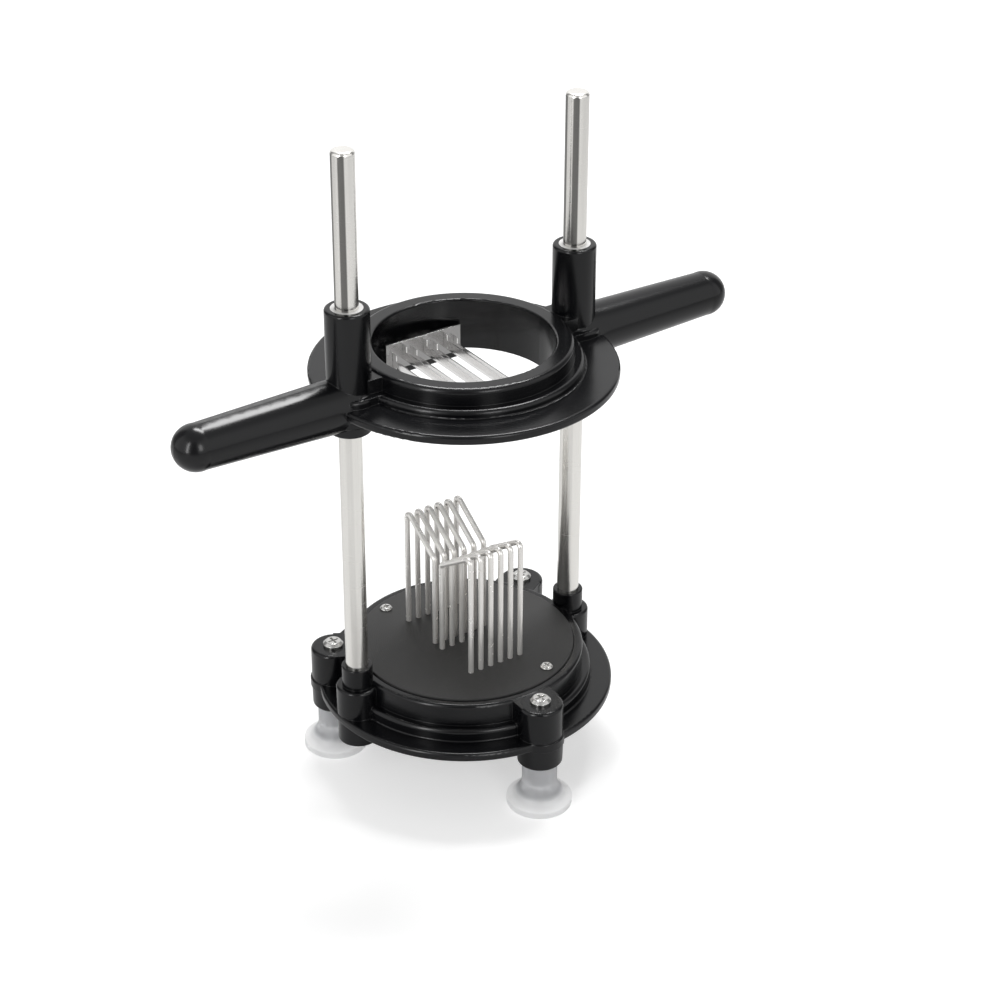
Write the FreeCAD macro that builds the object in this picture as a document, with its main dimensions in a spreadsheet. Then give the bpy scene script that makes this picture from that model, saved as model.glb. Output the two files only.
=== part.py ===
import FreeCAD, Part
import math
import os
import re

import Sketcher

# A hand press that cuts into wedges. A cast base stands on three suction cups and carries two guide
# rods and a plate with six rows of bent wires. A cast head with two handles slides down the rods with
# its grid of blades, and the wires pass between the blades.
# The origin is where the press axis meets the table. X runs through both rods, -Y is the front.

# Driving sizes in millimetres, read by every piece through the sheet.
SIZES = {
    # guide rods, and the spacing that base and head share
    "rod_radius": 6.0,
    "rod_offset": 68.5,
    "rod_length": 329.0,
    "rod_chamfer": 0.8,
    "rod_top_round": 2.0,
    "rod_tap_depth": 22.0,
    # running and standing clearances on the radius or face
    "running_gap": 0.05,
    "press_gap": 0.02,
    "standing_gap": 0.3,
    # flange and rounded edges of both castings
    "flange_radius": 80.0,
    "flange_thickness": 5.0,
    "flange_round": 1.6,
    "rim_round": 1.9,
    "foot_of_wall_round": 0.8,
    "ledge_round": 2.3,
    "casting_wall": 3.2,
    # base casting
    "stand_height": 27.5,
    "boss_drop": 12.0,
    "base_step_radius": 68.5,
    "base_step_rise": 7.0,
    "drum_radius": 64.0,
    "drum_rise": 12.5,
    "seat_width": 7.0,
    "seat_thickness": 3.0,
    # sockets that hold the rods
    "socket_radius": 11.4,
    "socket_foot_radius": 11.0,
    "socket_collar_radius": 8.2,
    "socket_rise": 9.5,
    "socket_collar_height": 12.0,
    "socket_upper_web_width": 20.0,
    "socket_lower_web_width": 25.0,
    "socket_web_drop": 3.0,
    "socket_floor": 3.0,
    # lugs over the three feet
    "lug_inset": 8.5,
    "lug_radius": 12.1,
    "lug_bead": 0.8,
    "lug_drop": 0.4,
    "foot_boss_radius": 12.3,
    "foot_boss_end_radius": 12.0,
    # suction cups
    "cup_neck_radius": 9.4,
    "cup_neck_depth": 6.0,
    "cup_rim_radius": 17.5,
    "cup_bell_height": 14.5,
    "cup_lip_height": 4.0,
    "cup_lip_width": 2.5,
    "cup_lip_round": 1.0,
    "cup_hollow_depth": 3.2,
    "insert_radius": 4.2,
    "insert_length": 20.0,
    # screws
    "foot_screw_radius": 2.5,
    "foot_screw_head_radius": 5.5,
    "foot_screw_head_height": 3.0,
    "foot_screw_grip": 14.0,
    "plate_screw_radius": 2.0,
    "plate_screw_head_radius": 3.4,
    "plate_screw_head_height": 1.9,
    "plate_screw_length": 14.0,
    "plate_screw_circle": 52.5,
    "plate_screw_angle": 22.5,
    "screw_hole_gap": 0.25,
    "screw_thread_gap": 0.05,
    "rod_screw_radius": 3.0,
    "rod_screw_head_radius": 5.0,
    "rod_screw_head_height": 3.6,
    "rod_screw_length": 18.0,
    "rod_washer_radius": 6.4,
    "rod_washer_thickness": 1.2,
    "drive_slot_width": 1.2,
    "drive_slot_depth": 1.1,
    # pusher plate and its wires
    "plate_radius": 59.0,
    "plate_thickness": 8.0,
    "plate_proud": 1.0,
    "plate_gap": 0.25,
    "wire_radius": 1.5,
    "wire_bend_radius": 2.6,
    "wire_front_y": 29.5,
    "wire_front_valley_y": 1.6,
    "wire_rear_valley_y": 5.2,
    "wire_rear_y": 32.0,
    "wire_peak_height": 72.0,
    "wire_valley_height": 54.0,
    # head casting, with heights counted from the top of its flange
    "head_flange_top": 232.7,
    "ring_bore_radius": 47.0,
    "ring_wall_radius": 56.5,
    "ring_rise": 13.3,
    "ring_round": 2.4,
    "bore_round": 1.0,
    "head_step_radius": 62.0,
    "head_step_rise": 4.3,
    "skirt_radius": 51.0,
    "skirt_drop": 15.2,
    # sleeves that run on the rods
    "sleeve_radius": 11.4,
    "sleeve_rise": 49.3,
    "sleeve_drop": 18.2,
    "sleeve_round": 1.4,
    "sleeve_bore_radius": 7.0,
    "sleeve_boss_radius": 15.0,
    "sleeve_boss_height": 16.0,
    "upper_web_width": 21.0,
    "upper_web_drop": 1.4,
    "lower_web_width": 29.0,
    "web_round": 1.5,
    "bush_radius": 8.2,
    "bush_length": 16.0,
    # handles
    "handle_reach": 155.0,
    "handle_tip_radius": 12.1,
    "handle_tip_drop": 2.0,
    "handle_tip_lip": 0.2,
    "handle_root_radius": 14.2,
    "handle_root_drop": 2.6,
    # blades and the two combs that hold them
    "blade_pitch": 6.3,
    "blade_thickness": 0.6,
    "blade_height": 5.4,
    "blade_tang_height": 7.8,
    "blade_tang_rise": 0.7,
    "blade_shoulder_length": 3.2,
    "blade_bottom_rise": 1.0,
    "blade_stagger": 3.5,
    "blade_edge_height": 1.8,
    "blade_end_y": 42.0,
    "comb_width": 46.0,
    "comb_height": 15.0,
    "comb_thickness": 1.5,
    "comb_face_y": 38.0,
    "comb_foot_width": 24.0,
    "comb_foot_end_y": 44.8,
    "comb_slot_gap": 0.1,
    "blade_seat_thickness": 3.2,
    "blade_seat_width": 46.0,
    "blade_seat_gap": 0.5,
    "blade_pin_radius": 1.0,
    "blade_pin_y": 40.8,
    "blade_pin_length": 41.0,
    "comb_screw_radius": 1.5,
    "comb_screw_head_radius": 2.3,
    "comb_screw_y": 42.2,
    "comb_screw_head_height": 1.6,
}

# Heights over the table that follow from the sizes, and a few lengths that more than one piece uses.
LEVELS = {
    "base_flange_bottom": "stand_height + boss_drop",
    "base_flange_top": "base_flange_bottom + flange_thickness",
    "base_step_top": "base_flange_top + base_step_rise",
    "drum_top": "base_step_top + drum_rise",
    "plate_top": "drum_top + plate_proud",
    "plate_seat": "plate_top - plate_thickness",
    "socket_top": "drum_top + socket_rise",
    "socket_shoulder": "socket_top - socket_collar_height",
    "lug_circle_radius": "flange_radius - lug_inset",
    "lug_top": "drum_top - lug_drop",
    "lug_web_width": "lug_radius * 1.94",
    "rod_bottom": "stand_height + rod_screw_head_height + rod_washer_thickness + socket_floor + standing_gap",
    "neck_top": "stand_height + cup_neck_depth",
    "head_flange_bottom": "head_flange_top - flange_thickness",
    "head_step_top": "head_flange_top + head_step_rise",
    "ring_top": "head_flange_top + ring_rise",
    "skirt_bottom": "head_flange_top - skirt_drop",
    "sleeve_top": "head_flange_top + sleeve_rise",
    "sleeve_bottom": "head_flange_top - sleeve_drop",
    "blade_bottom": "skirt_bottom + blade_bottom_rise",
    "ring_inner_wall": "ring_bore_radius + casting_wall",
}

PIN_HEIGHT = "blade_bottom + blade_tang_rise + (blade_tang_height + blade_stagger) / 2"
BLADES = 7
WIRE_ROWS = BLADES - 1
FOOT_ANGLES = {"front": -90, "left": 150, "right": 30}
SIDES = {"left": -1, "right": 1}
ENDS = {"front": -1, "rear": 1}

V = FreeCAD.Vector
doc = FreeCAD.newDocument("wedger_press")
sheet = doc.addObject("Spreadsheet::Sheet", "Sizes")
for row, (alias, size) in enumerate(SIZES.items(), start=1):
    sheet.set(f"A{row}", alias)
    sheet.set(f"B{row}", str(size))
    sheet.setAlias(f"B{row}", alias)
gauge = doc.addObject("App::FeaturePython", "Gauge")
gauge.addProperty("App::PropertyFloat", "Reading")
doc.recompute()

nodes = {}


def bound(expression):
    """An expression with its levels spelled out and every size named as the sheet's own."""
    def spell(match):
        word = match.group()
        if word in LEVELS:
            return "(" + bound(LEVELS[word]) + ")"
        return "Sizes." + word if word in SIZES else word
    return re.sub(r"[a-z][a-z_]*", spell, str(expression))


def value(expression):
    """What an expression comes to now, in millimetres."""
    gauge.setExpression("Reading", bound(expression))
    gauge.recompute()
    return gauge.Reading


def place(piece, x=0, y=0, z=0):
    """Bind a piece's position to the sheet."""
    for letter, expression in zip("xyz", (x, y, z)):
        piece.setExpression("Placement.Base." + letter, bound(expression))
    return piece


def primitive(kind, name, at=(0, 0, 0), turn=(V(0, 0, 1), 0), **lengths):
    """One of the simple solids, turned and placed, with its lengths bound to the sheet."""
    piece = doc.addObject("Part::" + kind, name)
    piece.Placement = FreeCAD.Placement(V(), FreeCAD.Rotation(*turn))
    for length, expression in lengths.items():
        piece.setExpression(length, bound(expression))
    return place(piece, *at)


def block(name, x, y, z):
    """A box between two values along each axis."""
    spans = {"Length": x, "Width": y, "Height": z}
    lengths = {key: f"({high}) - ({low})" for key, (low, high) in spans.items()}
    return primitive("Box", name, at=(x[0], y[0], z[0]), **lengths)


def drill(name, radius, low, high, x=0, y=0):
    """An upright round tool between two heights."""
    return primitive("Cylinder", name, at=(x, y, low), Radius=radius, Height=f"({high}) - ({low})")


def join(name, pieces):
    """Several pieces made one."""
    whole = doc.addObject("Part::MultiFuse", name)
    whole.Shapes = list(pieces)
    whole.Refine = True
    return whole


def group(name, pieces):
    """Several separate solids that share one name."""
    together = doc.addObject("Part::Compound", name)
    together.Links = list(pieces)
    return together


def cut(name, base, tools):
    """A piece with several tools taken out of it."""
    result = doc.addObject("Part::Cut", name)
    result.Base = base
    result.Tool = tools[0] if len(tools) == 1 else group(name + "_tools", tools)
    result.Refine = True
    return result


def overlap(name, first, second):
    """What two pieces share."""
    result = doc.addObject("Part::Common", name)
    result.Base = first
    result.Tool = second
    return result


def origin_plane(body, role):
    """A body's own origin plane."""
    return next(plane for plane in body.Origin.OriginFeatures if plane.Role == role)


def draw(sketch, corners):
    """A closed outline whose corners are bound to the sheet as (across, up) expressions."""
    points = [V(value(across), value(up), 0) for across, up in corners]
    count = len(points)
    for number in range(count):
        sketch.addGeometry(Part.LineSegment(points[number], points[(number + 1) % count]), False)
    for number in range(count):
        sketch.addConstraint(Sketcher.Constraint("Coincident", number, 2, (number + 1) % count, 1))
    for number, (across, up) in enumerate(corners):
        for kind, line, expression, now in (("DistanceX", -2, across, points[number].x),
                                            ("DistanceY", -1, up, points[number].y)):
            if expression == "0":
                sketch.addConstraint(Sketcher.Constraint("PointOnObject", number, 1, line))
            else:
                place_of = sketch.addConstraint(Sketcher.Constraint(kind, -1, 1, number, 1, now))
                sketch.setExpression(f"Constraints[{place_of}]", bound(expression))


def sketch_on(body, name, role, corners):
    """A sketch of a closed outline on one of the body's origin planes."""
    sketch = body.newObject("Sketcher::SketchObject", name)
    sketch.AttachmentSupport = [(origin_plane(body, role), "")]
    sketch.MapMode = "FlatFace"
    draw(sketch, corners)
    return sketch


def round_edge(feature, radius, height):
    """The name of the full circle with this radius and height on a turned shape."""
    for number, edge in enumerate(feature.Shape.Edges, start=1):
        curve = edge.Curve
        if isinstance(curve, Part.Circle) and abs(curve.Radius - value(radius)) < 1e-4:
            if abs(curve.Center.z - value(height)) < 1e-4:
                return f"Edge{number}"
    raise ValueError(f"no round edge at radius {radius} and height {height}")


def turned(name, outline, rounds=(), at=(0, 0, 0)):
    """A body turned about its own Z axis, with some of its circular edges rounded.

    rounds lists (rounding radius, [(radius, height) of each edge]).
    """
    body = doc.addObject("PartDesign::Body", name)
    sketch = sketch_on(body, name + "_outline", "XZ_Plane", outline)
    feature = body.newObject("PartDesign::Revolution", name + "_turned")
    feature.Profile = sketch
    feature.ReferenceAxis = (sketch, ["V_Axis"])
    feature.Angle = 360
    doc.recompute()
    for number, (rounding, edges) in enumerate(rounds, start=1):
        fillet = body.newObject("PartDesign::Fillet", f"{name}_round_{number}")
        fillet.Base = (feature, [round_edge(feature, radius, height) for radius, height in edges])
        fillet.setExpression("Radius", bound(rounding))
        doc.recompute()
        feature = fillet
    return place(body, *at)


def node(name, piece):
    """Record a finished piece under the name of its file."""
    piece.Label = name
    nodes[name] = piece
    return piece


def on_circle(radius, angle):
    """The x and y of a point on a circle about the press axis."""
    return f"{radius} * cos({angle})", f"{radius} * sin({angle})"


# Base casting: a stepped drum on a round flange, open underneath, with two rod sockets and three lugs.
def base_casting():
    """The casting that everything stands on."""
    seat_bottom = "plate_seat - seat_thickness"
    hollow = "drum_radius - casting_wall"
    recess = "plate_radius + plate_gap"
    drum = turned("base_drum", [
        ("base_step_radius - casting_wall", "base_flange_bottom"),
        ("flange_radius", "base_flange_bottom"),
        ("flange_radius", "base_flange_top"),
        ("base_step_radius", "base_flange_top"),
        ("base_step_radius", "base_step_top"),
        ("drum_radius", "base_step_top"),
        ("drum_radius", "drum_top"),
        (recess, "drum_top"),
        (recess, "plate_seat"),
        (f"{recess} - seat_width", "plate_seat"),
        (f"{recess} - seat_width", seat_bottom),
        (hollow, seat_bottom),
        (hollow, "base_step_top - casting_wall"),
        ("base_step_radius - casting_wall", "base_step_top - casting_wall"),
    ], rounds=[
        ("flange_round", [("flange_radius", "base_flange_bottom"), ("flange_radius", "base_flange_top")]),
        ("rim_round", [("drum_radius", "drum_top")]),
        ("ledge_round", [("base_step_radius", "base_step_top")]),
        ("foot_of_wall_round", [("base_step_radius", "base_flange_top")]),
    ])
    solids = [drum]
    holes = []
    for side, sign in SIDES.items():
        centre = f"{sign} * rod_offset"
        solids.append(turned(f"socket_{side}", [
            ("0", "stand_height"),
            ("socket_foot_radius", "stand_height"),
            ("socket_foot_radius", "base_flange_top"),
            ("socket_radius", "base_flange_top"),
            ("socket_radius", "socket_shoulder"),
            ("socket_collar_radius", "socket_shoulder"),
            ("socket_collar_radius", "socket_top"),
            ("0", "socket_top"),
        ], rounds=[
            ("web_round", [("socket_radius", "socket_shoulder")]),
            ("rod_chamfer", [("socket_collar_radius", "socket_top"), ("socket_foot_radius", "stand_height")]),
        ], at=(centre, 0, 0)))
        inner, outer = sorted((f"{sign} * (drum_radius - 2)", centre), key=value)
        for level, top in (("upper", "drum_top"), ("lower", "base_step_top")):
            half = f"socket_{level}_web_width / 2"
            solids.append(block(f"socket_{level}_web_{side}", (inner, outer), (f"-{half}", half),
                                ("base_flange_bottom", f"{top} - socket_web_drop")))
        floor = "rod_bottom - socket_floor"
        holes += [
            drill(f"rod_hole_{side}", "rod_radius + press_gap", "rod_bottom", "socket_top + 1", centre),
            drill(f"rod_screw_hole_{side}", "rod_screw_radius + screw_hole_gap",
                  floor, "rod_bottom", centre),
            drill(f"rod_head_hole_{side}", "rod_washer_radius + screw_hole_gap",
                  "stand_height - 1", floor, centre),
        ]
    for foot, angle in FOOT_ANGLES.items():
        x, y = on_circle("lug_circle_radius", angle)
        solids.append(turned(f"lug_{foot}", [
            ("0", "stand_height"),
            ("foot_boss_end_radius", "stand_height"),
            ("foot_boss_radius", "base_flange_bottom"),
            ("lug_radius + lug_bead", "base_flange_bottom"),
            ("lug_radius + lug_bead", "base_flange_top"),
            ("lug_radius", "base_flange_top"),
            ("lug_radius", "lug_top"),
            ("0", "lug_top"),
        ], rounds=[
            ("rim_round", [("lug_radius", "lug_top")]),
            ("lug_bead * 0.9", [("lug_radius + lug_bead", "base_flange_top")]),
            ("rod_chamfer", [("foot_boss_end_radius", "stand_height")]),
        ], at=(x, y, 0)))
        web = primitive("Box", f"lug_web_{foot}", turn=(V(0, 0, 1), angle), Length="lug_circle_radius - drum_radius + 2",
                        Width="lug_web_width", Height="lug_top - base_flange_bottom")
        side_x, side_y = on_circle("lug_web_width / 2", angle - 90)
        in_x, in_y = on_circle("(drum_radius - 2)", angle)
        solids.append(place(web, f"{in_x} + {side_x}", f"{in_y} + {side_y}", "base_flange_bottom"))
        holes += [
            drill(f"foot_screw_hole_{foot}", "foot_screw_radius + screw_hole_gap",
                  "neck_top - 1", "lug_top + 1", x, y),
            drill(f"cup_hole_{foot}", "cup_neck_radius + standing_gap", "stand_height - 1", "neck_top", x, y),
        ]
    for number, (x, y) in enumerate(plate_screw_places(), start=1):
        boss = drill(f"plate_boss_{number}", "plate_screw_radius * 2.6",
                     "plate_top - plate_screw_length", "plate_seat", x, y)
        solids.append(boss)
        holes.append(drill(f"plate_thread_{number}", "plate_screw_radius + screw_thread_gap",
                           "plate_top - plate_screw_length - 1", "plate_seat + 1", x, y))
    trimmed = cut("base_in_the_round", join("base_solids", solids), [
        drill("plate_recess", recess, "plate_seat", "socket_top + 1"),
    ])
    node("base_casting", cut("base_casting", trimmed, holes))


def plate_screw_places():
    """The two screws that hold the plate lie across from each other, a little round from the front."""
    angle = 90 + value("plate_screw_angle")
    return [on_circle("plate_screw_circle", angle), on_circle("plate_screw_circle", angle + 180)]


# Round bright rods, tapped underneath and chamfered on top, each held by a screw and washer from below.
def guide_rods():
    """Two rods and what holds them in the base."""
    screws, washers = [], []
    for side, sign in SIDES.items():
        centre = f"{sign} * rod_offset"
        rod = turned(f"rod_{side}", [
            ("0", "rod_tap_depth"),
            ("rod_screw_radius + screw_thread_gap", "rod_tap_depth"),
            ("rod_screw_radius + screw_thread_gap", "0"),
            ("rod_radius - rod_chamfer", "0"),
            ("rod_radius", "rod_chamfer"),
            ("rod_radius", "rod_length"),
            ("0", "rod_length"),
        ], rounds=[("rod_top_round", [("rod_radius", "rod_length")])], at=(centre, 0, "rod_bottom"))
        node(f"guide_rod_{side}", rod)
        seat = "rod_bottom - socket_floor - rod_washer_thickness"
        washers.append(turned(f"rod_washer_{side}", [
            ("rod_screw_radius + screw_hole_gap", "0"),
            ("rod_washer_radius", "0"),
            ("rod_washer_radius", "rod_washer_thickness"),
            ("rod_screw_radius + screw_hole_gap", "rod_washer_thickness"),
        ], at=(centre, 0, seat)))
        blank = turned(f"rod_screw_blank_{side}", [
            ("0", "-rod_screw_head_height"),
            ("rod_screw_head_radius", "-rod_screw_head_height"),
            ("rod_screw_head_radius", "0"),
            ("rod_screw_radius", "0"),
            ("rod_screw_radius", "rod_screw_length"),
            ("0", "rod_screw_length"),
        ], at=(centre, 0, seat))
        hexagon = doc.addObject("Part::Prism", f"rod_screw_key_{side}")
        hexagon.Polygon = 6
        hexagon.setExpression("Circumradius", bound("rod_screw_head_radius / 2"))
        hexagon.setExpression("Height", bound("rod_screw_head_height / 2"))
        place(hexagon, centre, 0, seat + " - rod_screw_head_height")
        screws.append(cut(f"rod_screw_{side}", blank, [hexagon]))
    node("rod_screws", group("rod_screws", screws))
    node("rod_washers", group("rod_washers", washers))


def pan_screw(name, size, length, x, y, seat):
    """A domed screw with a crossed recess: its head sits on the seat height and its shank points down."""
    head_radius = f"{size}_head_radius"
    head_height = f"{size}_head_height"
    blank = turned(name + "_blank", [
        ("0", f"-({length})"),
        (f"{size}_radius", f"-({length})"),
        (f"{size}_radius", "0"),
        (head_radius, "0"),
        (head_radius, f"{head_height} / 2"),
        (f"{head_radius} * 0.72", head_height),
        ("0", head_height),
    ], rounds=[
        (f"{head_height} / 4", [(f"{head_radius} * 0.72", head_height)]),
    ], at=(x, y, seat))
    slots = []
    for number, (along, across) in enumerate(((1, 0), (0, 1)), start=1):
        long, thin = f"{head_radius} * 0.55", "drive_slot_width / 2"
        half_x = long if along else thin
        half_y = long if across else thin
        slots.append(block(f"{name}_slot_{number}", (f"{x} - {half_x}", f"{x} + {half_x}"),
                           (f"{y} - {half_y}", f"{y} + {half_y}"),
                           (f"{seat} + {head_height} - drive_slot_depth", f"{seat} + {head_height} + 1")))
    return cut(name, blank, slots)


# Milky soft cups, each with a threaded metal insert, drawn up into its boss by a long screw from above.
def feet():
    """The three suction cups, their inserts and their screws."""
    inserts, screws = [], []
    for foot, angle in FOOT_ANGLES.items():
        x, y = on_circle("lug_circle_radius", angle)
        insert_bottom = "neck_top - insert_length"
        cup = turned(f"cup_{foot}", [
            ("0", "cup_hollow_depth"),
            ("cup_rim_radius * 0.45", "cup_hollow_depth"),
            ("cup_rim_radius - cup_lip_width", "0"),
            ("cup_rim_radius", "0"),
            ("cup_rim_radius", "cup_lip_height"),
            ("cup_rim_radius * 0.82", "cup_bell_height * 0.42"),
            ("cup_neck_radius * 1.12", "cup_bell_height * 0.7"),
            ("cup_neck_radius", "cup_bell_height"),
            ("cup_neck_radius", "neck_top"),
            ("insert_radius + press_gap", "neck_top"),
            ("insert_radius + press_gap", f"{insert_bottom} - standing_gap"),
            ("0", f"{insert_bottom} - standing_gap"),
        ], rounds=[
            ("cup_bell_height / 4", [("cup_neck_radius * 1.12", "cup_bell_height * 0.7"),
                                     ("cup_rim_radius * 0.82", "cup_bell_height * 0.42")]),
            ("cup_lip_round", [("cup_rim_radius", "0"), ("cup_rim_radius", "cup_lip_height")]),
        ], at=(x, y, 0))
        node(f"suction_cup_{foot}", cup)
        inserts.append(turned(f"insert_{foot}", [
            ("foot_screw_radius + screw_thread_gap", insert_bottom),
            ("insert_radius", insert_bottom),
            ("insert_radius", "neck_top"),
            ("foot_screw_radius + screw_thread_gap", "neck_top"),
        ], at=(x, y, 0)))
        screws.append(pan_screw(f"foot_screw_{foot}", "foot_screw", "lug_top - neck_top + foot_screw_grip",
                                x, y, "lug_top"))
    node("cup_inserts", group("cup_inserts", inserts))
    node("foot_screws", group("foot_screws", screws))


def wire_row_x(row):
    """How far a row of wires stands from the middle: halfway between two blades."""
    return f"{row - (WIRE_ROWS - 1) / 2} * blade_pitch"


# Thick black disc in the top of the drum. The wires are pressed through it.
def pusher_plate():
    """The plate, drilled for the wires and its two screws, and the screws."""
    disc = turned("plate_disc", [
        ("0", "plate_seat"),
        ("plate_radius", "plate_seat"),
        ("plate_radius", "plate_top"),
        ("0", "plate_top"),
    ], rounds=[("bore_round / 2", [("plate_radius", "plate_top")])])
    holes = []
    for row in range(WIRE_ROWS):
        for number, y in enumerate(("-wire_front_y", "-wire_front_valley_y",
                                    "wire_rear_valley_y", "wire_rear_y"), start=1):
            holes.append(drill(f"wire_hole_{row + 1}_{number}", "wire_radius + press_gap",
                               "plate_seat - 1", "plate_top + 1", wire_row_x(row), y))
    screws = []
    for number, (x, y) in enumerate(plate_screw_places(), start=1):
        holes.append(drill(f"plate_screw_hole_{number}", "plate_screw_radius + screw_hole_gap",
                           "plate_seat - 1", "plate_top + 1", x, y))
        screws.append(pan_screw(f"plate_screw_{number}", "plate_screw", "plate_screw_length - 1",
                                x, y, "plate_top"))
    node("pusher_plate", cut("pusher_plate", disc, holes))
    node("plate_screws", group("plate_screws", screws))


def bent_path(corners, bend):
    """Straight runs through the corners, with a tangent arc of one radius at each turn."""
    edges = []
    start = corners[0]
    for before, corner, after in zip(corners, corners[1:], corners[2:]):
        inward = (before - corner).normalize()
        outward = (after - corner).normalize()
        half = inward.getAngle(outward) / 2
        reach = bend / math.tan(half)
        first, last = corner + inward * reach, corner + outward * reach
        middle = corner + (inward + outward).normalize() * (bend / math.sin(half) - bend)
        edges += [Part.LineSegment(start, first).toShape(), Part.Arc(first, middle, last).toShape()]
        start = last
    edges.append(Part.LineSegment(start, corners[-1]).toShape())
    return Part.Wire(edges)


def wedge_loop(name, x, outer_y, valley_y):
    """One wire bent twice: a tall outer leg, a run that slopes to the middle and a short inner leg."""
    bottom = value("plate_seat")
    peak = value("plate_top + wire_peak_height - wire_radius")
    valley = value("plate_top + wire_valley_height - wire_radius")
    across, outer, inner = value(x), value(outer_y), value(valley_y)
    path = bent_path([V(across, outer, bottom), V(across, outer, peak),
                      V(across, inner, valley), V(across, inner, bottom)], value("wire_bend_radius"))
    section = Part.Wire([Part.Circle(V(across, outer, bottom), V(0, 0, 1), value("wire_radius")).toShape()])
    piece = doc.addObject("Part::Feature", name)
    piece.Shape = path.makePipeShell([section], True, False)
    node(name, piece)


# Stainless wires in six rows. Each row has a front and a rear loop, and together they make a valley.
def wedge_loops():
    """Twelve loops, two in each row."""
    for row in range(WIRE_ROWS):
        x = wire_row_x(row)
        wedge_loop(f"wedge_loop_front_{row + 1}", x, "-wire_front_y", "-wire_front_valley_y")
        wedge_loop(f"wedge_loop_rear_{row + 1}", x, "wire_rear_y", "wire_rear_valley_y")


def handle(side):
    """A tapered round grip with a ball tip, which stands a little proud of the taper's end."""
    sign = SIDES[side]
    reach = "handle_reach - rod_offset"
    tip_z = "head_flange_top - handle_tip_drop"
    root_z = "head_flange_top - handle_root_drop"
    grip = primitive("Cone", f"handle_grip_{side}", at=(f"{sign} * rod_offset", 0, root_z),
                     turn=(V(0, sign, 0), 90), Radius1="handle_root_radius",
                     Radius2="handle_tip_radius - handle_tip_lip",
                     Height=f"sqrt(({reach})^2 + ({tip_z} - ({root_z}))^2)")
    tilt = f"atan(({tip_z} - ({root_z})) / ({reach}))"
    grip.setExpression("Placement.Rotation.Angle", bound(f"90 * 1 deg - {tilt}"))
    tip = primitive("Sphere", f"handle_tip_{side}", at=(f"{sign} * handle_reach", 0, tip_z),
                    Radius="handle_tip_radius")
    return [grip, tip]


# Head casting: a round ring on a flange, a tall sleeve on each rod and two handles, cast in one.
def head_casting():
    """The sliding casting that carries the blades."""
    ring = turned("head_ring", [
        ("ring_bore_radius", "skirt_bottom"),
        ("skirt_radius", "skirt_bottom"),
        ("skirt_radius", "ring_top - casting_wall"),
        ("ring_wall_radius - casting_wall", "ring_top - casting_wall"),
        ("ring_wall_radius - casting_wall", "head_step_top - casting_wall"),
        ("head_step_radius - casting_wall", "head_step_top - casting_wall"),
        ("head_step_radius - casting_wall", "head_flange_bottom"),
        ("flange_radius", "head_flange_bottom"),
        ("flange_radius", "head_flange_top"),
        ("head_step_radius", "head_flange_top"),
        ("head_step_radius", "head_step_top"),
        ("ring_wall_radius", "head_step_top"),
        ("ring_wall_radius", "ring_top"),
        ("ring_bore_radius", "ring_top"),
    ], rounds=[
        ("flange_round", [("flange_radius", "head_flange_bottom"), ("flange_radius", "head_flange_top")]),
        ("ring_round", [("ring_wall_radius", "ring_top")]),
        ("bore_round", [("ring_bore_radius", "ring_top")]),
        ("ledge_round", [("head_step_radius", "head_step_top")]),
        ("foot_of_wall_round", [("head_step_radius", "head_flange_top")]),
    ])
    solids = [ring]
    holes = []
    for side, sign in SIDES.items():
        centre = f"{sign} * rod_offset"
        boss_bottom = "head_step_top - sleeve_boss_height"
        solids.append(turned(f"sleeve_{side}", [
            ("0", "sleeve_bottom"),
            ("sleeve_radius", "sleeve_bottom"),
            ("sleeve_radius", boss_bottom),
            ("sleeve_boss_radius", boss_bottom),
            ("sleeve_boss_radius", "head_step_top"),
            ("sleeve_radius", "head_step_top"),
            ("sleeve_radius", "sleeve_top"),
            ("0", "sleeve_top"),
        ], rounds=[
            ("sleeve_round", [("sleeve_radius", "sleeve_top"), ("sleeve_radius", "sleeve_bottom")]),
            ("rim_round", [("sleeve_boss_radius", "head_step_top"), ("sleeve_boss_radius", boss_bottom)]),
            ("web_round", [("sleeve_radius", "head_step_top")]),
        ], at=(centre, 0, 0)))
        solids += handle(side)
        for level, width, low, high in (
                ("upper", "upper_web_width", "head_step_top - 1", "ring_top - upper_web_drop"),
                ("lower", "lower_web_width", "head_flange_bottom", "head_step_top")):
            inner, outer = sorted((f"{sign} * (ring_wall_radius - 2)", centre), key=value)
            web = block(f"{level}_web_{side}", (inner, outer), (f"-{width} / 2", f"{width} / 2"), (low, high))
            solids.append(web)
        holes += [
            drill(f"sleeve_bore_{side}", "sleeve_bore_radius", "sleeve_bottom - 1", "sleeve_top + 1", centre),
            drill(f"bush_seat_upper_{side}", "bush_radius + press_gap",
                  "sleeve_top - bush_length", "sleeve_top + 1", centre),
            drill(f"bush_seat_lower_{side}", "bush_radius + press_gap",
                  "sleeve_bottom - 1", "sleeve_bottom + bush_length", centre),
        ]
    for end, sign in ENDS.items():
        disc = drill(f"blade_seat_disc_{end}", "skirt_radius", "skirt_bottom - blade_seat_thickness", "skirt_bottom")
        low, high = sorted((f"{sign} * comb_face_y", f"{sign} * skirt_radius"), key=value)
        strip = block(f"blade_seat_strip_{end}", ("-blade_seat_width / 2", "blade_seat_width / 2"), (low, high),
                      ("skirt_bottom - blade_seat_thickness", "skirt_bottom"))
        solids.append(overlap(f"blade_seat_{end}", disc, strip))
        for side, side_sign in SIDES.items():
            holes.append(drill(f"comb_screw_hole_{end}_{side}", "comb_screw_radius + screw_thread_gap",
                               "skirt_bottom - blade_seat_thickness - 1", "skirt_bottom + 1",
                               *comb_screw_place(sign, side_sign)))
    node("head_casting", cut("head_casting", join("head_solids", solids), holes))


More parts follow.
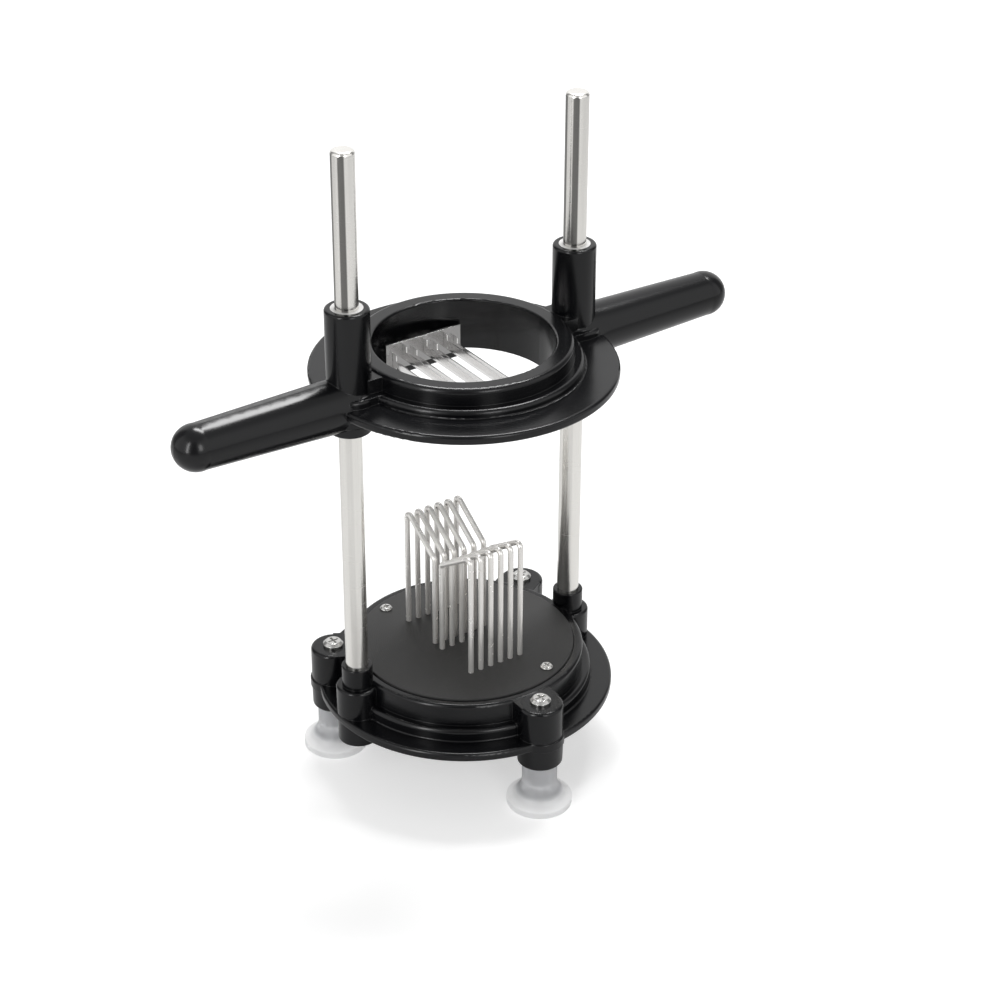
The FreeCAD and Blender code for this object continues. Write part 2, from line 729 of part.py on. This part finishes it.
# Pale plastic bushes pressed into both ends of each sleeve, which run on the rods.
def guide_bushes():
    """Four bushes, a running fit on the rods."""
    for side, sign in SIDES.items():
        for level, low in (("upper", "sleeve_top - bush_length"), ("lower", "sleeve_bottom")):
            bush = turned(f"bush_{side}_{level}", [
                ("rod_radius + running_gap", "0"),
                ("bush_radius", "0"),
                ("bush_radius", "bush_length"),
                ("rod_radius + running_gap", "bush_length"),
            ], at=(f"{sign} * rod_offset", 0, low))
            node(f"guide_bush_{side}_{level}", bush)


def blade_places():
    """For each blade: its number, its x and how far it is set up. Every second blade stands higher."""
    for number in range(BLADES):
        raised = "blade_stagger" if number % 2 else "0"
        yield number + 1, f"{number - (BLADES - 1) / 2} * blade_pitch", raised


def comb_screw_place(end_sign, side_sign):
    """The x and y of a comb screw, between two blades and behind the comb."""
    return f"{side_sign} * 1.5 * blade_pitch", f"{end_sign} * comb_screw_y"


def tang_bottom(raised):
    """The height of the underside of a blade's tangs."""
    return f"blade_bottom + {raised} + blade_tang_rise"


# Thin steel blades. Their lower edges are sharp, and their narrow ends go through both combs.
def blades():
    """The seven blades."""
    for number, x, raised in blade_places():
        half = "blade_thickness / 2"
        bottom = f"blade_bottom + {raised}"
        face = "comb_face_y - comb_slot_gap"
        middle = block(f"blade_{number}_middle", (f"{x} - {half}", f"{x} + {half}"), (f"-({face})", face),
                       (f"{bottom} + blade_edge_height", f"{bottom} + blade_height"))
        tangs = []
        for end, sign in ENDS.items():
            span = sorted((f"{sign} * ({face} - blade_shoulder_length)", f"{sign} * blade_end_y"), key=value)
            tangs.append(block(f"blade_{number}_tang_{end}", (f"{x} - {half}", f"{x} + {half}"), span,
                               (tang_bottom(raised), f"{tang_bottom(raised)} + blade_tang_height")))
        edge = doc.addObject("Part::Wedge", f"blade_{number}_edge")
        spans = {"Xmin": f"-{half}", "Xmax": half, "X2min": "0", "X2max": "0",
                 "Ymin": "0", "Ymax": "blade_edge_height",
                 "Zmin": f"-({face})", "Zmax": face, "Z2min": f"-({face})", "Z2max": face}
        for key, expression in spans.items():
            edge.setExpression(key, bound(expression))
        edge.Placement = FreeCAD.Placement(V(), FreeCAD.Rotation(V(1, 0, 0), -90))
        place(edge, x, 0, f"{bottom} + blade_edge_height")
        whole = join(f"blade_{number}_whole", [middle, edge] + tangs)
        pin_holes = []
        for end, sign in ENDS.items():
            hole = primitive("Cylinder", f"blade_{number}_pin_hole_{end}", turn=(V(0, 1, 0), 90),
                             at=(f"{x} - blade_thickness", f"{sign} * blade_pin_y", PIN_HEIGHT),
                             Radius="blade_pin_radius + screw_thread_gap", Height="2 * blade_thickness")
            pin_holes.append(hole)
        node(f"blade_{number}", cut(f"blade_{number}", whole, pin_holes))


# Steel angle at each end of the blades, slotted for their tangs and screwed to a seat under the ring.
def combs():
    """The two combs, the pins that lock the blades behind them and the screws that hold them."""
    screws = []
    for end, sign in ENDS.items():
        near, far = sorted((f"{sign} * comb_face_y", f"{sign} * (comb_face_y + comb_thickness)"), key=value)
        wall = block(f"comb_{end}_wall", ("-comb_width / 2", "comb_width / 2"), (near, far),
                     ("skirt_bottom", "skirt_bottom + comb_height"))
        foot_low, foot_high = sorted((f"{sign} * comb_face_y", f"{sign} * comb_foot_end_y"), key=value)
        foot = block(f"comb_{end}_foot", ("-comb_foot_width / 2", "comb_foot_width / 2"), (foot_low, foot_high),
                     ("skirt_bottom", "skirt_bottom + comb_thickness"))
        tools = []
        for number, x, raised in blade_places():
            half = "(blade_thickness / 2 + comb_slot_gap)"
            tools.append(block(f"comb_{end}_slot_{number}", (f"{x} - {half}", f"{x} + {half}"),
                               (f"{near} - 1", f"{far} + 1"),
                               (f"{tang_bottom(raised)} - comb_slot_gap",
                                f"{tang_bottom(raised)} + blade_tang_height + comb_slot_gap")))
        for side, side_sign in SIDES.items():
            x, y = comb_screw_place(sign, side_sign)
            tools.append(drill(f"comb_{end}_hole_{side}", "comb_screw_radius + screw_hole_gap",
                               "skirt_bottom - 1", "skirt_bottom + comb_thickness + 1", x, y))
            screws.append(pan_screw(f"comb_screw_{end}_{side}", "comb_screw",
                                    "comb_thickness + blade_seat_thickness - standing_gap", x, y,
                                    "skirt_bottom + comb_thickness"))
        node(f"blade_comb_{end}", cut(f"blade_comb_{end}", join(f"comb_{end}_angle", [wall, foot]), tools))
        pin = primitive("Cylinder", f"blade_pin_{end}", turn=(V(0, 1, 0), 90),
                        at=("-blade_pin_length / 2", f"{sign} * blade_pin_y", PIN_HEIGHT),
                        Radius="blade_pin_radius", Height="blade_pin_length")
        node(f"blade_pin_{end}", pin)
    node("comb_screws", group("comb_screws", screws))


base_casting()
guide_rods()
feet()
pusher_plate()
wedge_loops()
head_casting()
guide_bushes()
blades()
combs()
doc.recompute()

# Every piece is tested before any is written.
for thing in doc.Objects:
    if any(state in ("Invalid", "Error") for state in thing.State):
        raise RuntimeError(f"{thing.Name} failed: {thing.State}")
for name, piece in nodes.items():
    if piece.Shape.isNull() or not piece.Shape.isValid() or not piece.Shape.Solids:
        raise RuntimeError(f"{name} is not a good solid")

os.makedirs("parts", exist_ok=True)
for name, piece in nodes.items():
    piece.Shape.exportStep(f"parts/{name}.step")
    print(f"{name}: {len(piece.Shape.Solids)} solid(s), {piece.Shape.Volume:.1f} mm3")
print("guide play on the rods", value("running_gap"), "travel down",
      round(value("sleeve_bottom - socket_top"), 3), "travel up", round(value("rod_bottom + rod_length - sleeve_top"), 3))
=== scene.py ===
import math

import bmesh
import bpy
from mathutils import Matrix, Vector

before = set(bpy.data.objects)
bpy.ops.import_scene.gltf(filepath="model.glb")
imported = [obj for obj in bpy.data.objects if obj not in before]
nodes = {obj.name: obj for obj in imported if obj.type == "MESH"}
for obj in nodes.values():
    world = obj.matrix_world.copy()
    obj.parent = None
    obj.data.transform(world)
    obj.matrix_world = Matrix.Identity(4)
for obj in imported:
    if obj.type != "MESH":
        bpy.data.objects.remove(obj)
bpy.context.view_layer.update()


# Both castings: poured aluminium, fettled and dipped in thick gloss black enamel. The enamel
# rounds every edge a little, pools in the corners and lies in slow waves that bend the reflections.
class Flow:
    """A value between two nodes of a finish. Sums of flows and numbers become Math nodes."""

    def __init__(self, socket):
        self.socket = socket

    def maths(self, operation, first, second):
        return Finish(self.socket.id_data).maths(operation, first, second)

    def __add__(self, other):
        return self.maths("ADD", self, other)

    def __sub__(self, other):
        return self.maths("SUBTRACT", self, other)

    def __rsub__(self, other):
        return self.maths("SUBTRACT", other, self)

    def __mul__(self, other):
        return self.maths("MULTIPLY", self, other)

    __radd__ = __add__
    __rmul__ = __mul__


class Finish:
    """A node tree being written. node() adds one node, sets it, feeds it and gives an output."""

    def __init__(self, tree):
        self.tree = tree

    def node(self, kind, settings, values, output=0):
        made = self.tree.nodes.new("ShaderNode" + kind)
        for name, setting in settings.items():
            setattr(made, name, setting)
        self.feed(made, values)
        return Flow(made.outputs[output])

    def feed(self, made, values):
        for name, value in values.items():
            if isinstance(value, Flow):
                self.tree.links.new(value.socket, made.inputs[name])
            else:
                made.inputs[name].default_value = value

    def maths(self, operation, *values):
        return self.node("Math", {"operation": operation}, dict(enumerate(values)))

    def vectors(self, operation, *values, output="Vector"):
        return self.node("VectorMath", {"operation": operation}, dict(enumerate(values)), output)

    def shade(self, low, high, mask):
        """A colour between two, by a mask."""
        return self.node("Mix", {"data_type": "RGBA"},
                         {"Factor": mask, "A": low, "B": high}, "Result")


def new_finish(name, **values):
    """A material with a Principled surface. The words' underscores stand for its spaces."""
    material = bpy.data.materials.new(name)
    material.use_nodes = True
    finish = Finish(material.node_tree)
    surface = material.node_tree.nodes["Principled BSDF"]
    finish.feed(surface, {key.replace("_", " "): value for key, value in values.items()})
    return material, finish, surface


def grey(level, warmth=0.0):
    """A grey, warm above zero and cool below it."""
    return (level * (1 + warmth), level, level * (1 - warmth), 1)


def object_places(finish, scale=(1, 1, 1)):
    """Object coordinates in metres, stretched for a pattern that runs one way."""
    place = finish.node("TexCoord", {}, {}, "Object")
    return finish.node("Mapping", {}, {"Vector": place, "Scale": scale})


def noise(finish, place, spots, detail, roughness=0.5):
    """Noise from 0 to 1 with this many spots in a metre."""
    return finish.node("TexNoise", {}, {"Vector": place, "Scale": spots, "Detail": detail,
                                        "Roughness": roughness}, "Fac")


def band(finish, value, low, high):
    """0 under low, 1 over high and smooth between."""
    return finish.node("MapRange", {"interpolation_type": "SMOOTHSTEP"},
                       {"Value": value, "From Min": low, "From Max": high,
                        "To Min": 0.0, "To Max": 1.0})


def bump(finish, height, distance, strength, normal=None):
    """A surface normal raised by a height from 0 to 1 times a distance in metres."""
    values = {"Height": height, "Distance": distance, "Strength": strength}
    if normal is not None:
        values["Normal"] = normal
    return finish.node("Bump", {}, values, "Normal")


def edge_mask(finish, radius):
    """1 on edges within the radius and 0 on open faces, and the rounded normal there."""
    rounded = finish.node("Bevel", {"samples": 6}, {"Radius": radius}, "Normal")
    true_normal = finish.node("NewGeometry", {}, {}, "Normal")
    match = finish.vectors("DOT_PRODUCT", rounded, true_normal, output="Value")
    return band(finish, 1 - match, 0.01, 0.16), rounded


def dress(material, *starts):
    """Put a finish on every piece whose name starts with one of these."""
    for name in nodes:
        if name.startswith(starts):
            nodes[name].material_slots[0].material = material


ENAMEL_THIN = (0.0016, 0.0017, 0.0022, 1)
ENAMEL_THICK = (0.0034, 0.0036, 0.0046, 1)
ENAMEL_RUBBED = grey(0.022, -0.03)
ENAMEL_ROUGHNESS = 0.17


def black_enamel():
    material, finish, surface = new_finish("black_enamel", IOR=1.42)
    place = object_places(finish)
    edges, rounded = edge_mask(finish, radius=0.0005)
    waves = noise(finish, place, spots=55.0, detail=1.5)
    peel = noise(finish, place, spots=900.0, detail=2.0)
    clouds = noise(finish, place, spots=26.0, detail=5.0, roughness=0.6)
    dust = band(finish, noise(finish, place, spots=2600.0, detail=2.0), 0.66, 0.74)
    rubbed = edges * band(finish, noise(finish, place, spots=210.0, detail=4.0), 0.45, 0.75)
    colour = finish.shade(ENAMEL_THIN, ENAMEL_THICK, clouds)
    colour = finish.shade(colour, ENAMEL_RUBBED, rubbed * 0.5)
    normal = bump(finish, waves, distance=0.00022, strength=0.4, normal=rounded)
    normal = bump(finish, peel, distance=0.00002, strength=0.2, normal=normal)
    finish.feed(surface, {
        "Base Color": colour,
        "Roughness": clouds * 0.07 + ENAMEL_ROUGHNESS + rubbed * 0.14 + dust * 0.05,
        "Normal": normal,
    })
    return material


dress(black_enamel(), "base_casting", "head_casting")


# Pusher plate: a disc turned from black plastic sheet. Its face keeps the fine rings of the turning
# tool and light scratches from the knife work above it, and it looks matte beside the enamel.
PLATE_DARK = grey(0.027, 0.01)
PLATE_PALE = grey(0.037, 0.01)
PLATE_SCRATCHED = grey(0.08)
PLATE_ROUGHNESS = 0.46


def turned_plastic():
    material, finish, surface = new_finish("turned_black_plastic", IOR=1.46,
                                           Specular_IOR_Level=0.35)
    place = object_places(finish)
    rings = finish.node("TexWave", {"wave_type": "RINGS", "rings_direction": "Z"},
                        {"Vector": place, "Scale": 260.0, "Distortion": 0.6, "Detail": 2.0}, "Fac")
    grain = noise(finish, place, spots=1500.0, detail=3.0)
    patches = noise(finish, place, spots=34.0, detail=5.0, roughness=0.6)
    streaks = noise(finish, object_places(finish, (60, 900, 1)), spots=3.0, detail=4.0)
    scratches = band(finish, streaks, 0.63, 0.72)
    edges, rounded = edge_mask(finish, radius=0.0006)
    colour = finish.shade(PLATE_DARK, PLATE_PALE, patches)
    colour = finish.shade(colour, PLATE_SCRATCHED, scratches * 0.22 + edges * 0.35)
    finish.feed(surface, {
        "Base Color": colour,
        "Roughness": patches * 0.12 + PLATE_ROUGHNESS - scratches * 0.08,
        "Normal": bump(finish, rings * 0.5 + grain, distance=0.00004, strength=0.5,
                       normal=rounded),
    })
    return material


dress(turned_plastic(), "pusher_plate")


# Guide rods: ground and polished stainless bar. Fine draw lines run along them, with faint rings
# where the bushes stop. Above the head, dark streaks on four sides are painted reflections in the
# colour.
ROD_DULL = (0.76, 0.745, 0.71, 1)
ROD_BRIGHT = (0.98, 0.965, 0.93, 1)
# The dark of the painted reflections on the rods.
ROD_PAINTED_REFLECTION = (0.06, 0.059, 0.056, 1)
ROD_ROUGHNESS = 0.16
PAINTED_REFLECTION_HEADINGS = (-130, -195, -20, 70)
PAINTED_REFLECTION_FADE_IN = (0.20, 0.27)
PAINTED_REFLECTION_BELOW, PAINTED_REFLECTION_ABOVE = 0.10, 0.75


def polished_rod():
    material, finish, surface = new_finish("polished_rod", Metallic=1.0, Specular_IOR_Level=0.5)
    lines = noise(finish, object_places(finish, (1, 1, 0.012)), spots=2600.0, detail=3.0)
    smears = noise(finish, object_places(finish, (1, 1, 0.25)), spots=90.0, detail=4.0,
                   roughness=0.6)
    rings = noise(finish, object_places(finish, (0.02, 0.02, 1)), spots=1500.0, detail=2.0)
    height = finish.node("SeparateXYZ", {}, {"Vector": object_places(finish)}, "Z")
    facing = finish.node("NewGeometry", {}, {}, "Normal")
    # Painted reflection: dark streaks at fixed headings round the rod, faint low down and strong
    # above the head.
    streaks = 0.0
    for heading in PAINTED_REFLECTION_HEADINGS:
        angle = math.radians(heading)
        match = finish.vectors("DOT_PRODUCT", facing, (math.cos(angle), math.sin(angle), 0),
                               output="Value")
        streaks = band(finish, match + lines * 0.01, 0.950, 0.985) + streaks
    streaks = streaks * (band(finish, height, *PAINTED_REFLECTION_FADE_IN) * PAINTED_REFLECTION_ABOVE + PAINTED_REFLECTION_BELOW)
    colour = finish.shade(ROD_DULL, ROD_BRIGHT, lines * 0.6 + smears * 0.4)
    finish.feed(surface, {
        "Base Color": finish.shade(colour, ROD_PAINTED_REFLECTION, streaks),
        "Roughness": smears * 0.12 + ROD_ROUGHNESS + band(finish, rings, 0.60, 0.75) * 0.10,
        "Normal": bump(finish, lines, distance=0.00001, strength=0.5),
    })
    return material


dress(polished_rod(), "guide_rod")


# Bent wires: stainless wire, bent cold round a pin and pressed through the plate. Draw lines run
# up the legs, and small spots come from handling.
WIRE_DULL = (0.80, 0.78, 0.75, 1)
WIRE_BRIGHT = (0.98, 0.965, 0.94, 1)
WIRE_ROUGHNESS = 0.18


def drawn_wire():
    material, finish, surface = new_finish("drawn_wire", Metallic=0.6)
    lines = noise(finish, object_places(finish, (1, 1, 0.03)), spots=3800.0, detail=3.0)
    spots = noise(finish, object_places(finish), spots=240.0, detail=4.0, roughness=0.6)
    finish.feed(surface, {
        "Base Color": finish.shade(WIRE_DULL, WIRE_BRIGHT, lines * 0.5 + spots * 0.5),
        "Roughness": spots * 0.14 + WIRE_ROUGHNESS,
        "Normal": bump(finish, lines * 0.7 + spots * 0.3, distance=0.000012, strength=0.5),
    })
    return material


dress(drawn_wire(), "wedge_loop")


# Blades and combs: hardened strip, ground along its length and bright at the edges. The combs are
# punched and folded from thicker and duller sheet.
STRIP_LEVELS = (0.80, 0.92)
SHEET_LEVELS = (0.30, 0.40)
STEEL_EDGE = (0.88, 0.88, 0.87, 1)
STEEL_ROUGHNESS = 0.16
BLADES = tuple(f"blade_{number}" for number in range(1, 8))


def ground_steel(name, levels):
    material, finish, surface = new_finish(name, Metallic=1.0)
    grind = noise(finish, object_places(finish, (1, 0.02, 1)), spots=3200.0, detail=3.0)
    stains = noise(finish, object_places(finish), spots=120.0, detail=5.0, roughness=0.6)
    edges, rounded = edge_mask(finish, radius=0.0003)
    dull, bright = (grey(level, 0.01) for level in levels)
    colour = finish.shade(dull, bright, grind)
    finish.feed(surface, {
        "Base Color": finish.shade(colour, STEEL_EDGE, edges * 0.6),
        "Roughness": stains * 0.10 + STEEL_ROUGHNESS,
        "Normal": bump(finish, grind, distance=0.00001, strength=0.6, normal=rounded),
    })
    return material


dress(ground_steel("ground_strip", STRIP_LEVELS), *BLADES)
dress(ground_steel("folded_sheet", SHEET_LEVELS), "blade_comb")


# Screws, washers, pins and inserts: turned steel with bright plating. The plating is slightly
# cloudy in the recesses and rubbed brighter on the edges.
PLATING_CLOUDED = (0.50, 0.495, 0.48, 1)
PLATING_CLEAR = (0.70, 0.695, 0.68, 1)
PLATING_EDGE = grey(0.85)
PLATING_ROUGHNESS = 0.14


def bright_plating():
    material, finish, surface = new_finish("bright_plating", Metallic=1.0)
    cloud = noise(finish, object_places(finish), spots=420.0, detail=4.0, roughness=0.6)
    edges, rounded = edge_mask(finish, radius=0.0004)
    colour = finish.shade(PLATING_CLOUDED, PLATING_CLEAR, cloud)
    finish.feed(surface, {
        "Base Color": finish.shade(colour, PLATING_EDGE, edges * 0.5),
        "Roughness": cloud * 0.15 + PLATING_ROUGHNESS,
        "Normal": bump(finish, cloud, distance=0.00002, strength=0.4, normal=rounded),
    })
    return material


dress(bright_plating(), "plate_screws", "foot_screws", "rod_screws", "rod_washers", "cup_inserts",
      "comb_screws", "blade_pin")


# Guide bushes: pale acetal, turned and pressed into both ends of each sleeve. Only fine rings of
# the turning tool show on them.
BUSH_DARK = grey(0.62, 0.01)
BUSH_PALE = grey(0.70, 0.01)
BUSH_ROUGHNESS = 0.35


def acetal():
    material, finish, surface = new_finish("pale_acetal", IOR=1.48)
    turning = noise(finish, object_places(finish, (0.05, 0.05, 1)), spots=2200.0, detail=2.0)
    finish.feed(surface, {
        "Base Color": finish.shade(BUSH_DARK, BUSH_PALE, turning),
        "Roughness": turning * 0.1 + BUSH_ROUGHNESS,
        "Normal": bump(finish, turning, distance=0.00001, strength=0.5),
    })
    return material


dress(acetal(), "guide_bush")


# Suction cups: soft clear plastic gone milky, moulded in one with a long neck. The thin skirt has a
# painted glow that stands for light from the table scattered in it, and the neck has painted shade
# that stands for the insert and the screw seen through it.
CUP_CLEAR = (0.95, 0.952, 0.955, 1)
CUP_HAZY = (0.99, 0.99, 0.992, 1)
# The grey of the painted shade on the neck.
CUP_NECK_PAINTED_SHADE = (0.58, 0.585, 0.60, 1)
CUP_ROUGHNESS = 0.26
NECK_EDGE = (0.32, 0.41)


def milky_plastic():
    material, finish, surface = new_finish(
        "milky_plastic", IOR=1.45, Transmission_Weight=0.45, Subsurface_Weight=0.8,
        Subsurface_Scale=0.008, Subsurface_Radius=(1.0, 1.0, 1.0), Specular_IOR_Level=0.5,
        Emission_Strength=0.11)
    place = object_places(finish)
    haze = noise(finish, place, spots=150.0, detail=4.0, roughness=0.6)
    box_place = finish.node("TexCoord", {}, {}, "Generated")
    off_centre = finish.vectors("SUBTRACT", box_place, (0.5, 0.5, 0.0))
    level = finish.vectors("MULTIPLY", off_centre, (1, 1, 0))
    from_axis = finish.vectors("LENGTH", level, output="Value")
    # Painted shade: the neck is greyed where the insert and screw would show through.
    painted_neck_shade = 1 - band(finish, from_axis + haze * 0.03, *NECK_EDGE)
    colour = finish.shade(CUP_CLEAR, CUP_HAZY, haze)
    finish.feed(surface, {
        "Base Color": finish.shade(colour, CUP_NECK_PAINTED_SHADE, painted_neck_shade),
        # Painted glow: the skirt glows faintly and the neck less.
        "Emission Color": finish.shade(grey(1.0), grey(0.25), painted_neck_shade),
        "Roughness": haze * 0.12 + CUP_ROUGHNESS,
        "Normal": bump(finish, noise(finish, place, spots=700.0, detail=2.0),
                       distance=0.00002, strength=0.4),
    })
    return material


dress(milky_plastic(), "suction_cup")


# Studio: a pale floor that stays white to the camera and keeps a soft shadow, one large soft light
# over the right shoulder, a long low one at the left, and pale walls with grey gaps for the metal
# to reflect.
FLOOR_HALF_SIDE = 3.0
FLOOR_GLOW_NEAR, FLOOR_GLOW_FAR, FLOOR_GLOW_MIRRORED = 0.50, 0.30, 0.06
FLOOR_FADE = (0.5, 2.0)
LIGHTS_TARGET = (0, 0, 0.2)
WALL_GAPS, GAPS_TURN, GAP_DEPTH = 3.0, 2.9, 0.75
CEILING_FADE, CEILING_LEVEL = (0.60, 0.90), 0.55
ROOM_LEVEL = 0.38


def ray_kinds(finish):
    """1 for rays from the camera or through clear plastic, and 1 for rays off metal or gloss."""
    camera, glossy, through = (
        finish.node("LightPath", {}, {}, kind)
        for kind in ("Is Camera Ray", "Is Glossy Ray", "Is Transmission Ray"))
    return finish.maths("MAXIMUM", camera, through), glossy


def pale_floor():
    bm = bmesh.new()
    bmesh.ops.create_grid(bm, x_segments=1, y_segments=1, size=FLOOR_HALF_SIDE)
    mesh = bpy.data.meshes.new("floor")
    bm.to_mesh(mesh)
    bm.free()
    floor = bpy.data.objects.new("floor", mesh)
    bpy.context.scene.collection.objects.link(floor)
    material, finish, surface = new_finish(
        "pale_floor", Base_Color=grey(0.70), Emission_Color=grey(1.0), Roughness=0.9,
        Specular_IOR_Level=0.1)
    seen, mirrored = ray_kinds(finish)
    distance = finish.vectors("LENGTH", object_places(finish), output="Value")
    glow = band(finish, distance, *FLOOR_FADE) * FLOOR_GLOW_FAR + FLOOR_GLOW_NEAR
    finish.feed(surface, {"Emission Strength": seen * glow + mirrored * FLOOR_GLOW_MIRRORED})
    mesh.materials.append(material)


def soft_light(name, place, size, power):
    lamp = bpy.data.lights.new(name, "AREA")
    lamp.shape = "RECTANGLE"
    lamp.size, lamp.size_y = size
    lamp.energy = power
    light = bpy.data.objects.new(name, lamp)
    light.location = place
    aim = Vector(LIGHTS_TARGET) - Vector(place)
    light.rotation_euler = aim.to_track_quat("-Z", "Y").to_euler()
    bpy.context.scene.collection.objects.link(light)


def studio_walls():
    world = bpy.data.worlds.new("studio")
    bpy.context.scene.world = world
    world.use_nodes = True
    walls = Finish(world.node_tree)
    direction = walls.node("TexCoord", {}, {}, "Generated")
    east, north, up = (walls.node("SeparateXYZ", {}, {"Vector": direction}, axis)
                       for axis in "XYZ")
    heading = walls.maths("ARCTAN2", east, north)
    gaps = band(walls, walls.maths("SINE", heading * WALL_GAPS + GAPS_TURN), 0.35, 0.8)
    ceiling = band(walls, up, *CEILING_FADE)
    mirrored = (1 - gaps * GAP_DEPTH) * (1 - ceiling) + ceiling * CEILING_LEVEL
    plain, glossy = ray_kinds(walls)
    level = plain + (1 - plain) * (glossy * mirrored + (1 - glossy) * ROOM_LEVEL)
    backdrop = world.node_tree.nodes["Background"]
    walls.feed(backdrop, {"Color": (1, 1, 1, 1), "Strength": level})


pale_floor()
soft_light("overhead_softbox", place=(0.44, 0.38, 1.47), size=(0.85, 0.32), power=17.0)
soft_light("left_strip", place=(-1.3, -0.5, 0.75), size=(0.22, 1.1), power=6.0)
soft_light("front_fill", place=(-0.2, -1.6, 0.9), size=(0.5, 0.8), power=5.0)
studio_walls()


# Camera: a long lens from the front left, a little above the head, as the photograph was taken.
# It looks at a point near the press's axis, just under half its height.
CAMERA_AZIMUTH, CAMERA_ELEVATION, CAMERA_ROLL = -34.414, 30.032, 0.252
CAMERA_TARGET = (0.02269, 0, 0.14414)
CAMERA_DISTANCE = 1.35676
LENS_LENGTH = 91.746


def photo_camera():
    azimuth, elevation = math.radians(CAMERA_AZIMUTH), math.radians(CAMERA_ELEVATION)
    back = Vector((math.sin(azimuth) * math.cos(elevation),
                   -math.cos(azimuth) * math.cos(elevation), math.sin(elevation)))
    roll = Matrix.Rotation(math.radians(CAMERA_ROLL), 3, "Z").to_quaternion()
    lens = bpy.data.cameras.new("photo_camera")
    lens.sensor_width = 36.0
    lens.lens = LENS_LENGTH
    lens.clip_start, lens.clip_end = 0.05, 20.0
    camera = bpy.data.objects.new("photo_camera", lens)
    camera.rotation_mode = "QUATERNION"
    camera.location = Vector(CAMERA_TARGET) + back * CAMERA_DISTANCE
    camera.rotation_quaternion = (-back).to_track_quat("-Z", "Y") @ roll
    bpy.context.scene.collection.objects.link(camera)
    bpy.context.scene.camera = camera


photo_camera()
bpy.context.scene.view_settings.view_transform = "Standard"
